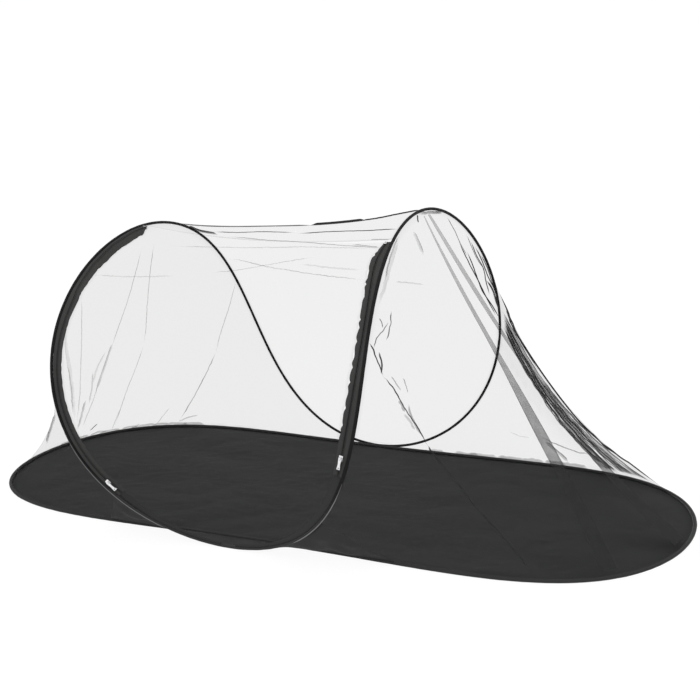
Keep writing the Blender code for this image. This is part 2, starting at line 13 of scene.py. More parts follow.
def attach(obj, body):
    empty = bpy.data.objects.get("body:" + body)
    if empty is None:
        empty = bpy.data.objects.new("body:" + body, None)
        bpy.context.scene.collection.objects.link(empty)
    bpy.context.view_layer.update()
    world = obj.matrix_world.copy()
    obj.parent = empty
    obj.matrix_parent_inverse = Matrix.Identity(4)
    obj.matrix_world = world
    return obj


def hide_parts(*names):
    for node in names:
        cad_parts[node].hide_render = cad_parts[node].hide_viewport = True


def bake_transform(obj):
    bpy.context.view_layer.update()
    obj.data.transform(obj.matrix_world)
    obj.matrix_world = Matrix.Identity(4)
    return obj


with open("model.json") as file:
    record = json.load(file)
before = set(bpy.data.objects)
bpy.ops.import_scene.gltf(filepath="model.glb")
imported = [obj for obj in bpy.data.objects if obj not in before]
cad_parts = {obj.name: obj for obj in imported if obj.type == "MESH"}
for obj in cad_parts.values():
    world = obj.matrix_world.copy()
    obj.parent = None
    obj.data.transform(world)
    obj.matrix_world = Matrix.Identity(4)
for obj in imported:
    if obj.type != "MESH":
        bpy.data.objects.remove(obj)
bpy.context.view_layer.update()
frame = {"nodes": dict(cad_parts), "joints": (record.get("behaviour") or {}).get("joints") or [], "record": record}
TAU = 2 * pi
SIDES = {1: "right", -1: "left"}

# Camera, fitted to the photo's rim and hoop
IMAGE_PX = 700
FOCAL_PX = 1309.8
AZIMUTH = radians(23.448)
ELEVATION = radians(11.793)
DISTANCE = 3.6514
TARGET = Vector((0.038, 0.0, 0.4158))
SENSOR_MM = 36.0

# Ground sheet and its rim
BASE_LENGTH = 2.000
BASE_WAIST = 0.926
BASE_SHOULDER = 0.0875
HEM_RADIUS = 0.0050
SHEET_THICKNESS = 0.0008
SHEET_WAVES = ((0.17, 50.0, 0.0080), (0.05, 70.0, 0.0030))  # size, seed and height
SHEET_SPINE_SHARE = 0.55
SHEET_EDGE_SHARE = 0.08
PLEAT_EDGE_SHARE = 0.02
WELD_GAP = 0.00005
FOLD_REACH = 0.027
FOLD_ANGLE = radians(50)
MIDDLE_FOLD_REACH = 0.22

# Canopy hoop
WAIST_X = -0.063
HOOP_SHIFT = -0.028
OVERHANG = 0.083
LOW_WIDTH = BASE_WAIST + OVERHANG
SPREAD = 0.1455
RIGHT_REACH = 0.326
LEFT_REACH = 0.517
FLARE = 0.0855
RIGHT_HEIGHT = 0.814
LEFT_HEIGHT = 0.741
TUCK = 0.0277
SLEEVE_RADIUS = 0.0040
SLEEVE_FOOT_SHARES = (0.12, 0.18)
TUBE_STEPS = 900
TUBE_SIDES = 16
TUBE_WOBBLE = 0.0003
# The pale cords on the sleeve's foot and at the hem's right end are painted highlights.
PAINTED_HIGHLIGHT_RADIUS = 0.0013
PAINTED_HIGHLIGHT_SIDE = (0.6, -0.7, -0.45)
PAINTED_HIGHLIGHT_SHARES = {1: (0.085, 0.190), -1: (0.072, 0.215)}
RIM_PAINTED_HIGHLIGHT_SHARES = (0.42, 0.65)

# Nets
RIGHT_END_BELLY = 0.035
RIGHT_END_DRAW = 0.116
LEFT_END_SAG = 0.088
DRAW_SHARE = 0.617
DRAW_SPREAD_SHARE = 0.147
END_SHEAR_SHARE = 0.080
END_NET_SHARES = (4 / 30, 29 / 30)
END_NET_GRIDS = {1: (520, 110), -1: (420, 90)}
END_NET_LAYERS = {1: 1.0, -1: 1.3}
END_PLEATS = (9, 0.003, 31, 0.0015)  # count and height, twice
SLACK_SHARES = (0.66, 0.80)
SLACK_FADE_SHARE = 0.05
SLACK_DEPTH = 0.003
ROOF_SAG = 0.022
DOOR_SAG = 0.018
ROOF_END_SHARE = 0.985
RIDGE_GAP_SHARE = 0.003
MIDDLE_LAYERS = 0.85
MIDDLE_RIPPLE = 0.003
MIDDLE_WRINKLE = 0.004
SEW_GAP = 0.0004
SEAM_SHARES = ((0.492, 0.411), (0.502, 0.546))
SEAM_TOP_WIDTH = 0.003
SEAM_LOW_WIDTH = 0.062
SEAM_LIFT = 0.0022
SEAM_FLARES = (0.85, 0.45)
SEAM_EDGE_LAYERS = 0.60

# Folds, frills and ruffles of the nets
PIXEL = 0.0027
FOLD_LAYERS = 2.6
CRINKLE = 0.0022
RUFFLE_SHARE = 0.94
RUFFLE_HEIGHT = 0.004
FRILL_HEIGHT = 0.012
FRILL_WIDTH = 0.012
FRILL_LAYERS = 5.0
FRILL_LIFT = 0.003
FRILL_SHARES = {1: (0.79, 0.95, 7), -1: (0.52, 0.76, 9)}

# The gather at the right end's back: where its threads leave the arch and reach the rim
GATHER_THREADS = 26
GATHER_TOP_SHARES = (0.731, 0.707)
GATHER_LOW_SHARES = (0.771, 0.712)
GATHER_WANDER = 0.006
GATHER_DRIFT = 0.0035
GATHER_TURN_SHARES = (0.50, 0.82)
# Its outline's strands: start and end of their drop, shift along the run and width
GATHER_OUTLINE = ((0.06, 0.97, 0.0, 1.3), (0.14, 0.80, -0.006, 1.0), (0.10, 0.45, -0.012, 1.0))

# Zips: shares of the leg at the tapes' low end, the slider's rest and end, and the tapes' top
ZIP_SHARES = {1: (0.195, 0.214, 0.365, 0.422), -1: (0.129, 0.147, 0.315, 0.485)}
HALF_STEPS = 30
ZIP_OFFSET = 0.0165
TAPE_FLAT = 0.0060
TAPE_REACH = 0.0135
TAPE_CROWN = 0.0003
TAPE_WAVES = 0.0016
TAPE_END_SHARES = {1: 0.020, -1: 0.014}
TAPE_HANG = {1: 0.0, -1: 0.016}
TAPE_THICKNESS = 0.0008
SLIT = 0.0016
TEETH_WIDTH = 0.0022
COIL_HEIGHT = 0.0022
COIL_PITCH = 0.0016
COIL_LIFT = 0.0002
PUCKER_LENGTH = 0.044
PUCKER_DEPTHS = {1: 0.0036, -1: 0.0010}
GUARD_DEPTHS = {1: 0.0037, -1: 0.0052}
GUARD_THICKNESS = 0.0005
GUARD_START = 0.002
GUARD_REACH = 0.0045
SILL_START = 0.25 / 30
SILL_STEPS = 200
SILL_WIDTH = 0.020
SILL_FOOT_WIDTH = 0.008
SILL_CROWN = 0.0008
SILL_WAVES = 0.0012
SILL_TUCK = 0.0030
SILL_TUCK_DEPTH = 0.0020
WEB_SLACK_SHARE = 0.10

# Studio
WORLD_STRENGTH = 1.01
FLOOR_GREY = 0.07
FLOOR_GLOW = 0.94
FLOOR_RADIUS = 60.0
FLOOR_DROP = 0.0006
# Each light's name, place, size and power
LIGHTS = (
    ("key", (2.6, -3.2, 3.6), 2.5, 26.0),
    ("fill", (-3.4, -2.0, 2.6), 3.0, 14.0),
    ("top", (0.0, 1.0, 4.2), 3.0, 16.0),
)


def hoop_run(run):
    """The hoop's centre line at each run, 0 front, 0.5 right top, 1 back, 1.5 left top."""
    t = np.asarray(run, float) * pi
    reach = (RIGHT_REACH + LEFT_REACH) / 2
    lean = (LEFT_REACH - RIGHT_REACH) / 4
    height = (RIGHT_HEIGHT + LEFT_HEIGHT) / 2
    rise = (RIGHT_HEIGHT - LEFT_HEIGHT) / 2
    x = WAIST_X + (reach + FLARE) * np.sin(t) + FLARE * np.sin(3 * t) - lean * (1 - np.cos(2 * t))
    y = HOOP_SHIFT - (LOW_WIDTH / 2 + SPREAD) * np.cos(t) + SPREAD * np.cos(3 * t)
    z = SLEEVE_RADIUS + np.sin(t) ** 2 * (height + rise * np.sin(t)) - TUCK * np.sin(2 * t) ** 2
    return np.stack([x, y, z], -1)


def rim_turn(turn):
    """The rim wire's centre line, its turn going round with the hoop's run."""
    s = np.asarray(turn, float) * pi - pi / 2
    x = (BASE_LENGTH / 2 - HEM_RADIUS) * np.cos(s)
    y = (BASE_WAIST / 2 + BASE_SHOULDER) * np.sin(s) + BASE_SHOULDER * np.sin(3 * s)
    return np.stack([x, y, np.full_like(x, HEM_RADIUS)], -1)


WAIST_SHORT = acos(-WAIST_X / (BASE_LENGTH / 2 - HEM_RADIUS)) / pi
RIM_FRONT = WAIST_SHORT - 0.5
RIM_BACK = 1.5 - WAIST_SHORT


def hoop(side, share):
    """A leg's line from the front low point, 0, over its arch's top, 0.5, to the back one, 1."""
    share = np.asarray(share, float)
    return hoop_run(share if side > 0 else 2 - share)


def rim(side, share):
    """The rim's line on a side, from the waist's front, 0, to its back, 1."""
    share = np.asarray(share, float)
    if side > 0:
        return rim_turn(RIM_FRONT + (RIM_BACK - RIM_FRONT) * share)
    return rim_turn(2 + RIM_FRONT + (RIM_BACK - 2 - RIM_FRONT) * share)


def unit(vectors):
    return vectors / np.maximum(np.linalg.norm(vectors, axis=-1, keepdims=True), 1e-9)


def heading(line, share):
    """The direction of a line at each share of its run."""
    step = 1e-3
    return unit(line(share + step) - line(share - step))


def rim_inward(turn):
    """The level direction from the rim's centre line into the bed."""
    ahead = heading(rim_turn, turn)
    return np.stack([-ahead[:, 1], ahead[:, 0], 0 * turn], -1)


def square(direction, along):
    """The part of each direction that is square to another, at length 1."""
    return unit(direction - along * (direction * along).sum(-1, keepdims=True))


def ease(value):
    value = np.clip(value, 0, 1)
    return value * value * (3 - 2 * value)


def window(value, start, end, fade):
    """1 between start and end, eased to 0 over fade inside them."""
    return ease((value - start) / fade) * ease((end - value) / fade)


def bow(share):
    """0 at both ends and 1 half way."""
    return 4 * share * (1 - share)


def mix(first, second, share):
    """Points between two sets of points."""
    return first * (1 - share[..., None]) + second * share[..., None]


def cloth_edge(line, radius, side, share, toward):
    """Where cloth that comes from toward meets the sleeve or hem round a line."""
    point = line(side, share)
    out = square(toward - point, heading(lambda s: line(side, s), share))
    return point + out * (radius + SEW_GAP)


def hoop_edge(*place):
    return cloth_edge(hoop, SLEEVE_RADIUS, *place)


def rim_edge(*place):
    return cloth_edge(rim, HEM_RADIUS, *place)


VIEW_BACK = np.array([sin(AZIMUTH) * cos(ELEVATION), -cos(AZIMUTH) * cos(ELEVATION), sin(ELEVATION)])
VIEW_RIGHT = np.array([cos(AZIMUTH), sin(AZIMUTH), 0])
VIEW_UP = np.cross(VIEW_BACK, VIEW_RIGHT)
VIEW_POINT = np.array(TARGET) + VIEW_BACK * DISTANCE


def pixels(points):
    """Where points stand in the photo, in its pixels."""
    away = points - VIEW_POINT
    depth = -(away @ VIEW_BACK)
    across = IMAGE_PX / 2 + FOCAL_PX * (away @ VIEW_RIGHT) / depth
    down = IMAGE_PX / 2 - FOCAL_PX * (away @ VIEW_UP) / depth
    return np.stack([across, down], -1)


def outward(side, share):
    """The way out of the tent from each share of an end net."""
    return unit(np.stack([side * np.sin(pi * share), -np.cos(pi * share), np.ones_like(share)], -1))


def soft_noise(points, size, seed):
    """Smooth noise from -1 to 1 at each point, in features about size metres across."""
    flat = points.reshape(-1, 3) / size + seed
    made = np.array([noise.noise(Vector(p)) for p in flat])
    return made.reshape(points.shape[:-1])


def wander(*place):
    """Smooth noise from -1 to 1 at one place."""
    return noise.noise(Vector(place))


def walked(line):
    """How far along a line of points each of them lies."""
    return np.concatenate([[0], np.linalg.norm(np.diff(line, axis=0), axis=1).cumsum()])


def grid_normals(points):
    """The direction square to a grid at each of its points."""
    return unit(np.cross(np.gradient(points, axis=1), np.gradient(points, axis=0)))


def grid_sizes(points):
    """How far along each column and each row of a grid lies, on average."""
    along = np.linalg.norm(np.diff(points, axis=1), axis=-1).mean(0).cumsum()
    down = np.linalg.norm(np.diff(points, axis=0), axis=-1).mean(1).cumsum()
    return np.concatenate([[0], along]), np.concatenate([[0], down])


def placed(name, data, place=(0, 0, 0), along=None):
    """A new object in the scene, at a place, that looks along a direction."""
    obj = bpy.data.objects.new(name, data)
    obj.location = place
    if along is not None:
        obj.rotation_euler = Vector(along).to_track_quat("-Z", "Y").to_euler()
    bpy.context.scene.collection.objects.link(obj)
    return obj


def grid_object(name, grids, material, closed=False):
    """One mesh over grids of points and their layers, with UVs in metres along both ways."""
    places, faces, corners, layers = [], [], [], []
    first = 0
    for points, density in grids:
        rows, columns = points.shape[:2]
        index = first + np.arange(rows * columns).reshape(rows, columns)
        u, v = grid_sizes(points)
        if closed:
            index = np.concatenate([index, index[:, :1]], axis=1)
            u = np.append(u, u[-1] + u[1])
        where = np.stack(np.meshgrid(u, v), -1)
        for made, grid in ((faces, index), (corners, where)):
            around = [grid[:-1, :-1], grid[:-1, 1:], grid[1:, 1:], grid[1:, :-1]]
            made.append(np.stack(around, 2).reshape(-1, 4 if grid is index else 2))
        places.append(points.reshape(-1, 3))
        layers.append(np.broadcast_to(density, points.shape[:2]).ravel())
        first += rows * columns
    mesh = bpy.data.meshes.new(name)
    mesh.from_pydata(np.concatenate(places).tolist(), [], np.concatenate(faces).tolist())
    layer = mesh.uv_layers.new(name="UVMap")
    layer.data.foreach_set("uv", np.concatenate(corners).astype(np.float32).ravel())
    attribute = mesh.attributes.new("layers", "FLOAT", "POINT")
    attribute.data.foreach_set("value", np.concatenate(layers).astype(np.float32))
    mesh.validate()
    mesh.shade_smooth()
    mesh.materials.append(material)
    return placed(name, mesh)


def piece(name, grids, material, body, nodes=(), slot=None, closed=False, thickness=0.0, layers=1.0):
    """A dressed piece that rides on a body, or, given a reach across the waist instead, is baked in place."""
    if isinstance(grids, np.ndarray):
        grids = [(grids, layers)]
    obj = grid_object(name, grids, MATERIALS[material], closed)
    if thickness:
        if closed:
            obj.modifiers.new("weld", "WELD").merge_threshold = WELD_GAP
        skin = obj.modifiers.new("skin", "SOLIDIFY")
        skin.thickness = thickness
        skin.offset = 0
    if isinstance(body, str):
        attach(obj, body)
    else:
        start, end = ((WAIST_X + reach, 0, 0) for reach in (body, -body))
        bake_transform(obj)
        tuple(start)
        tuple(end)
    if nodes:
        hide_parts(*nodes)
    return obj


def declare_sheet(points):
    """Works out the sizes and edges of a piece's grid, and keeps none of them."""
    u, v = grid_sizes(points)
    across = np.diff(points, axis=1)[:-1]
    down = np.diff(points, axis=0)[:, :-1]


class Net:
    """A net's grid, with its place, normal and pixel at any run across and drop down it."""

    FAR_PX = 1e5
    STEP = 0.003
    REACH = 0.01
    LEAST_TURN = 4e3
    SEARCH_ROUNDS = 6
    SMOOTH_ROUNDS = 4

    def __init__(self, points, smooth=None):
        self.points = points
        base = points if smooth is None else smooth
        normals = grid_normals(base)
        inside = np.array([0.0, 0.0, 0.2])
        self.normals = normals * np.sign(((base - inside) * normals).sum(-1).mean())
        self.facing = ((VIEW_POINT - base) * self.normals).sum(-1)
        self.seen = pixels(points)

    def at(self, grid, across, down):
        rows, columns = grid.shape[:2]
        x = np.clip(across, 0, 1) * (columns - 1)
        y = np.clip(down, 0, 1) * (rows - 1)
        i = np.minimum(x.astype(int), columns - 2)
        j = np.minimum(y.astype(int), rows - 2)
        a, b = (x - i)[..., None], (y - j)[..., None]
        top, low = (grid[k, i] * (1 - a) + grid[k, i + 1] * a for k in (j, j + 1))
        return top * (1 - b) + low * b

    def trace(self, marks, near):
        """The run and drop under a stroke of the photo, on the net's near or far side."""
        length = walked(marks)
        steps = np.linspace(0, length[-1], max(8, int(length[-1] / 2)))
        spots = np.stack([np.interp(steps, length, marks[:, i]) for i in (0, 1)], -1)
        wrong = 0 if near is None else ((self.facing > 0) != near)[..., None] * self.FAR_PX
        seen = (self.seen + wrong).reshape(-1, 2)
        best = np.array([((seen - spot) ** 2).sum(-1).argmin() for spot in spots])
        rows, columns = self.points.shape[:2]
        across = (best % columns) / (columns - 1)
        down = (best // columns) / (rows - 1)
        first = across, down
        step, reach, least = self.STEP, self.REACH, self.LEAST_TURN
        for _ in range(self.SEARCH_ROUNDS):
            gap = spots - self.at(self.seen, across, down)
            right, left = (self.at(self.seen, across + way, down) for way in (step, -step))
            lower, upper = (self.at(self.seen, across, down + way) for way in (step, -step))
            du, dv = (right - left) / (2 * step), (lower - upper) / (2 * step)
            turn = du[:, 0] * dv[:, 1] - dv[:, 0] * du[:, 1]
            turn = np.where(np.abs(turn) < least, np.copysign(least, turn), turn)
            across = across + np.clip((gap[:, 0] * dv[:, 1] - dv[:, 0] * gap[:, 1]) / turn, -reach, reach)
            down = down + np.clip((du[:, 0] * gap[:, 1] - gap[:, 0] * du[:, 1]) / turn, -reach, reach)
        off = np.linalg.norm(spots - self.at(self.seen, across, down), axis=-1)
        before = np.linalg.norm(spots - self.at(self.seen, *first), axis=-1)
        path = [np.where(off < before, now, old) for now, old in zip((across, down), first)]
        for line in path * self.SMOOTH_ROUNDS:
            line[1:-1] = (line[:-2] + 2 * line[1:-1] + line[2:]) / 4
        return path

    def crest(self, start, end):
        """The run and drop along the net's highest line in the photo, between two runs."""
        across = np.linspace(start, end, 60)
        rows = np.linspace(0, 1, 400)
        seen = self.at(self.seen[..., 1:], *np.meshgrid(across, rows))
        return across, rows[seen[..., 0].argmin(0)]

    def contour(self, first, last, start, end):
        """The run and drop where the net turns away from the viewer, within two runs."""
        rows, columns = self.facing.shape
        low, high = int(first * columns), int(last * columns)
        down = np.linspace(start, end, 90)
        away = self.facing[:, low:high] < 0
        turned = (low + away.argmax(1)) / (columns - 1)
        found = away.any(1) & ~away[:, 0]
        drops = np.linspace(0, 1, rows)
        down = down[down < drops[found].max()]
        return np.interp(down, drops[found], turned[found]), down

    def crease(self, across, down, width, layers, seed=0.0, ragged=0.35, height=None, fade=0.15):
        """A narrow fold of the net along a path over it, raised, with its own layers."""
        path = self.at(self.points, across, down)
        normal = unit(self.at(self.normals, across, down))
        sideways = np.cross(normal, unit(np.gradient(path, axis=0)))
        along = np.linspace(0, 1, len(path))
        path = path + sideways * (CRINKLE * soft_noise(path, 0.013, 3.0 + seed))[:, None]
        ends = window(along, 0, 1, fade)
        rough = soft_noise(path, 0.022, 5.0 + seed)
        half = width / 2 * (0.3 + 0.7 * ends) * (1 + ragged * rough)
        t = np.linspace(-1, 1, 5)
        lift = SEW_GAP + (width * 0.35 if height is None else height) * ends[:, None] * (1 - t**2)
        points = path[:, None] + sideways[:, None] * (half[:, None] * t)[..., None]
        points = points + normal[:, None] * lift[..., None]
        density = layers * (0.15 + 0.85 * ends) * (1 + ragged * soft_noise(path, 0.05, 9.0 + seed))
        return points, density[:, None] * (1 - 0.4 * t**2)


def tube_points(line, radius, sides, wobble=0.0, seed=0.0):
    """A grid of points round a line, whose radius varies a little where cloth puckers."""
    along = unit(np.gradient(line, axis=0))
    first = square(np.cross(along, [0, 0, 1]) + 1e-6, along)
    second = np.cross(first, along)
    turn = np.linspace(0, TAU, sides, endpoint=False)
    ring = np.cos(turn)[None, :, None] * first[:, None] + np.sin(turn)[None, :, None] * second[:, None]
    points = line[:, None] + ring * radius
    if wobble:
        points = points + ring * (wobble * soft_noise(points, 0.02, seed))[..., None]
    return points


# Materials


def grey(value):
    return (value,) * 3


def set_inputs(node, values):
    for name, value in values.items():
        node.inputs[name].default_value = value


class Nodes:
    """Adds nodes to a material's tree and links them in one call."""

    def __init__(self, name, colour, roughness, metallic=0.0, specular=0.5):
        self.material = bpy.data.materials.new(name)
        self.material.use_nodes = True
        self.tree = self.material.node_tree
        self.shader = self.tree.nodes["Principled BSDF"]
        set_inputs(self.shader, {
            "Base Color": (*colour, 1.0), "Roughness": roughness, "Metallic": metallic,
            "Specular IOR Level": specular,
        })

    def add(self, kind, settings=None, **inputs):
        node = self.tree.nodes.new(kind)
        for key, value in (settings or {}).items():
            setattr(node, key, value)
        for key, value in inputs.items():
            socket = node.inputs[int(key[1:]) if key[1:].isdigit() else key]
            if isinstance(value, bpy.types.NodeSocket):
                self.tree.links.new(value, socket)
            else:
                socket.default_value = value
        return node

    def math(self, operation, first, second=0.0, clamp=False):
        settings = {"operation": operation, "use_clamp": clamp}
        return self.add("ShaderNodeMath", settings, i0=first, i1=second).outputs[0]

    def ramp(self, factor, stops):
        node = self.add("ShaderNodeValToRGB", None, Fac=factor)
        elements = node.color_ramp.elements
        while len(elements) < len(stops):
            elements.new(0.5)
        for element, (place, colour) in zip(elements, stops):
            element.position = place
            element.color = (*colour, 1.0)
        return node.outputs["Color"]

    def link(self, output, socket):
        self.tree.links.new(output, self.shader.inputs[socket])

    def bump(self, height, strength, distance):
        node = self.add("ShaderNodeBump", None, Height=height, Strength=strength, Distance=distance)
        self.link(node.outputs["Normal"], "Normal")

    def place(self, kind):
        return self.add("ShaderNodeTexCoord").outputs[kind]

    def layers(self):
        return self.add("ShaderNodeAttribute", {"attribute_name": "layers"}).outputs["Fac"]

    def scaled(self, scale):
        """The UVs, which are in metres, times a scale."""
        settings = {"operation": "SCALE"}
        return self.add("ShaderNodeVectorMath", settings, i0=self.place("UV"), Scale=scale).outputs[0]

    def threads(self, pitch):
        """A plain weave's height: warp and weft take turns on top."""
        parts = self.add("ShaderNodeSeparateXYZ", None, Vector=self.scaled(pi / pitch))
        warp = self.math("SINE", parts.outputs[0])
        weft = self.math("SINE", parts.outputs[1])
        return self.math("MULTIPLY", warp, weft)


def cloth_material(name, colour, roughness, pitch, bump, mottle=0.15, other=None):
    """Black woven cloth, mottled a little. Other is the colour where its layers say 1."""
    made = Nodes(name, colour, roughness, specular=0.05)
    drawn = made.add("ShaderNodeVectorMath", {"operation": "MULTIPLY"}, i0=made.place("Object"), i1=STREAKS)
    blotch = made.add("ShaderNodeTexNoise", None, Vector=drawn.outputs[0], Scale=1.0, Detail=6.0)
    fine = made.add("ShaderNodeTexNoise", None, Vector=made.place("Object"), Scale=260.0, Detail=2.0)
    broad = made.math("MULTIPLY", blotch.outputs["Fac"], 0.7)
    mixed = made.math("ADD", broad, made.math("MULTIPLY", fine.outputs["Fac"], 0.3))
    tones = [tuple(c * (1 + sign * mottle) for c in colour) for sign in (-1, 1)]
    result = made.ramp(mixed, [(0.3, tones[0]), (0.7, tones[1])])
    if other:
        share = made.layers()
        blend = made.add("ShaderNodeMix", {"data_type": "RGBA"}, i0=share, i6=result, i7=(*other, 1.0))
        result = blend.outputs[2]
    made.link(result, "Base Color")
    made.bump(made.threads(pitch), bump, 0.0003)
    return made.material


def net_material(name, colour, cover, pitch):
    """Fine net: threads round small open cells. Cover is the share of light that it stops."""
    made = Nodes(name, colour, 0.9, specular=0.02)
    settings = {"voronoi_dimensions": "2D", "feature": "DISTANCE_TO_EDGE"}
    where = made.scaled(1 / pitch)
    cells = made.add("ShaderNodeTexVoronoi", settings, Vector=where, Scale=1.0, Randomness=0.25)
    thread = made.math("SUBTRACT", 1.0, made.math("MULTIPLY", cells.outputs["Distance"], 3.0), clamp=True)
    weave = made.math("ADD", 0.80, made.math("MULTIPLY", thread, 0.5))
    stopped = made.math("MULTIPLY", made.math("MULTIPLY", weave, made.layers()), cover)
    made.link(made.math("MINIMUM", stopped, 0.97), "Alpha")
    return made.material


def metal_material(name, colour, roughness):
    made = Nodes(name, colour, roughness, metallic=1.0)
    scratch = made.add("ShaderNodeTexNoise", None, Vector=made.place("Object"), Scale=900.0, Detail=3.0)
    low, high = roughness * 0.8, roughness * 1.4
    made.link(made.ramp(scratch.outputs["Fac"], [(0.35, grey(low)), (0.65, grey(high))]), "Roughness")
    made.bump(scratch.outputs["Fac"], 0.08, 0.0001)
    return made.material


STREAKS = (2.2, 6.0, 6.0)
# Cloths: colour, roughness, thread pitch, bump, mottling and other colour
CLOTHS = {
    "sheet_polyester": ((0.0275, 0.0275, 0.0282), 0.75, 0.0011, 0.35),
    "web_polyester": ((0.031, 0.031, 0.032), 0.70, 0.0009, 0.3),
    "hem_binding": (grey(0.032), 0.60, 0.0008, 0.4),
    # The sleeve's other colour, at its foot, is partly the foot cloth's tone and partly painted light against the
    # shade there.
    "sleeve_polyester": (grey(0.012), 0.60, 0.0008, 0.4, 0.15, grey(0.036)),
    "zip_tape": ((0.048, 0.047, 0.046), 0.80, 0.0009, 0.6),
    "zip_coil": (grey(0.037), 0.50, 0.0007, 0.1),
    # The pale cord's colour is a painted highlight.
    "piping": (grey(0.160), 0.50, 0.0008, 0.2),
}
# Nets: colour, cover and cell pitch
NETS = {
    "black_net": (grey(0.028), 0.085, 0.0016),
    "doubled_net": (grey(0.029), 0.60, 0.0014),
}
# Metals: colour and roughness
METALS = {
    "spring_steel": ((0.45, 0.45, 0.46), 0.35),
    "crimped_steel": (grey(0.56), 0.30),
    "nickel_plate": ((0.80, 0.80, 0.81), 0.22),
}
MATERIALS = {
    name: make(name, *look)
    for make, looks in ((cloth_material, CLOTHS), (net_material, NETS), (metal_material, METALS))
    for name, look in looks.items()
}


# Folds of the nets: each one's width and layers of net, then the marks along it, x and y in the
# photo's pixels

RIGHT_END_FOLDS = {
    "leg_crease_high": (1.2, 6, 369, 343, 373, 349, 376, 358, 380, 367, 383, 376),
    "leg_crease": (1.1, 5, 383, 376, 395, 390, 404, 408, 416, 425, 428, 446),
    "leg_crease_foot": (1.6, 6, 428, 446, 434, 455, 441, 464),
    "floor_crease": (1.1, 3, 441, 464, 456, 482, 476, 507, 506, 541, 522, 560, 535, 577),
    "fork_left": (1, 4, 374, 349, 376, 338, 384, 330, 388, 322),
    "fork_right": (1.4, 5, 381, 374, 382, 362, 379, 352),
    "hook": (1, 4, 391, 311, 391, 322, 389, 331, 386, 341),
    "spur_a": (0.9, 3, 380, 318, 383, 328),
    "spur_b": (1.4, 2, 391, 376, 396, 383, 401, 391),
    "spur_c": (1, 2.6, 403, 378, 406, 386, 408, 393),
    "frill_a": (2.6, 2, 398, 401, 402, 404, 405, 412),
    "frill_b": (1.8, 2.6, 408, 404, 411, 416, 417, 428, 424, 437),
    "frill_c": (2.2, 1.8, 404, 414, 411, 422, 415, 430),
    "tick": (1.3, 6, 417, 215, 418, 223),
    # leg_shade, leg_shadow, top_shade and arch_shadow are painted shade: extra layers of net where shade falls.
    "leg_shade": (1.6, 2, 399, 236, 394, 246, 389, 262, 385, 280),
    "leg_shadow": (3.4, 0.9, 398, 240, 391, 262, 384, 288, 379, 304),
    "top_shade": (3.2, 1.1, 413, 232, 417, 241, 423, 255),
    "level": (1.4, 1, 394, 282, 408, 283, 424, 285),
    "arch_shadow": (3, 3, 418, 214, 430, 213, 442, 213),
    "shoulder_a": (0.8, 3, 446, 216, 455, 232, 459, 242, 468, 258),
    "shoulder_b": (1.1, 9.2, 458, 240, 463, 252, 472, 270, 480, 285, 487, 300, 497, 318),
    "shoulder_c": (1.2, 8, 466, 250, 471, 262, 476, 276, 482, 292, 492, 306, 500, 320),
    "shoulder_d": (0.9, 3.4, 466, 234, 471, 247, 478, 262, 486, 272),
    "shoulder_e": (1.3, 4.6, 474, 245, 482, 262, 487, 276, 494, 290, 499, 306),
    "shoulder_f": (1.1, 5.8, 470, 240, 476, 256, 483, 268, 486, 284, 490, 297),
    "shoulder_g": (1.1, 5.8, 480, 254, 487, 268, 492, 284, 496, 296),
    "shoulder_h": (2, 5.8, 486, 280, 492, 290, 496, 303, 500, 314),
    "rim_line_a": (1, 2.6, 541, 436, 549, 442, 560, 446, 575, 452, 590, 455),
    "rim_line_b": (2.8, 1.8, 544, 441, 553, 449, 562, 457, 568, 462),
    "faint_low": (1, 0.8, 509, 432, 518, 436, 530, 438),
}
LEFT_END_FOLDS = {
    "top_to_heel": (1, 2.4, 142, 248, 135, 276, 127, 304, 119, 326, 111, 350),
    "heel_wedge": (4.2, 1.5, 113, 342, 108, 358, 101, 378, 96, 392),
    "heel_low": (1.4, 1.6, 100, 380, 92, 404, 82, 428),
    "top_to_rim": (1.1, 2, 154, 242, 150, 275, 147, 310, 146, 330, 144, 345),
    "to_rim_low": (1.1, 2, 144, 345, 136, 368, 127, 390, 115, 426),
    "leg_to_rim": (1.1, 2, 236, 281, 229, 308, 221, 332, 216, 352),
    "leg_to_rim_low": (1.2, 2.6, 216, 352, 206, 374, 194, 397, 180, 420),
    "upright": (1.3, 1.6, 82, 294, 82, 330, 81, 370, 80, 396, 77, 424),
    "fan_a": (2.4, 1.4, 93, 372, 92, 390, 89, 404),
    "fan_b": (3, 0.9, 106, 352, 98, 366, 93, 384),
    "fan_c": (3.4, 1.6, 86, 400, 82, 414, 78, 430),
    "fan_d": (1.6, 1.5, 67, 365, 70, 375, 72, 392, 73, 412),
    "fan_e": (5.5, 0.7, 66, 330, 67, 350, 71, 376, 75, 420),
    "mark_a": (1.6, 5, 90, 431, 95, 426, 98, 424),
    "mark_b": (1.2, 1.6, 112, 430, 117, 417, 121, 408),
    "mark_c": (1.3, 3, 132, 430, 138, 425, 140, 424),
    "mark_d": (1.4, 1.6, 156, 426, 162, 417, 170, 408),
    "mark_e": (2, 1.6, 178, 422, 186, 418, 198, 415),
}
LEFT_NEAR_FOLDS = {
    "sliver": (3, 1.6, 57, 414, 52, 428, 47, 444),
}
ROOF_FOLDS = {
    "second_dark": (4, 4, 186, 228, 195, 231, 206, 233, 218, 235),
    "second": (1.3, 3.6, 212, 232, 236, 233, 262, 232, 296, 233),
    "second_end": (1.3, 4.6, 296, 234, 330, 232, 366, 231, 402, 229),
    "third": (1, 2.2, 224, 236, 262, 240, 310, 243, 345, 246, 378, 248),
    "slack": (3, 1.4, 352, 245, 366, 247, 380, 248),
    "knot_a": (1.6, 2, 370, 240, 380, 240, 390, 240),
}
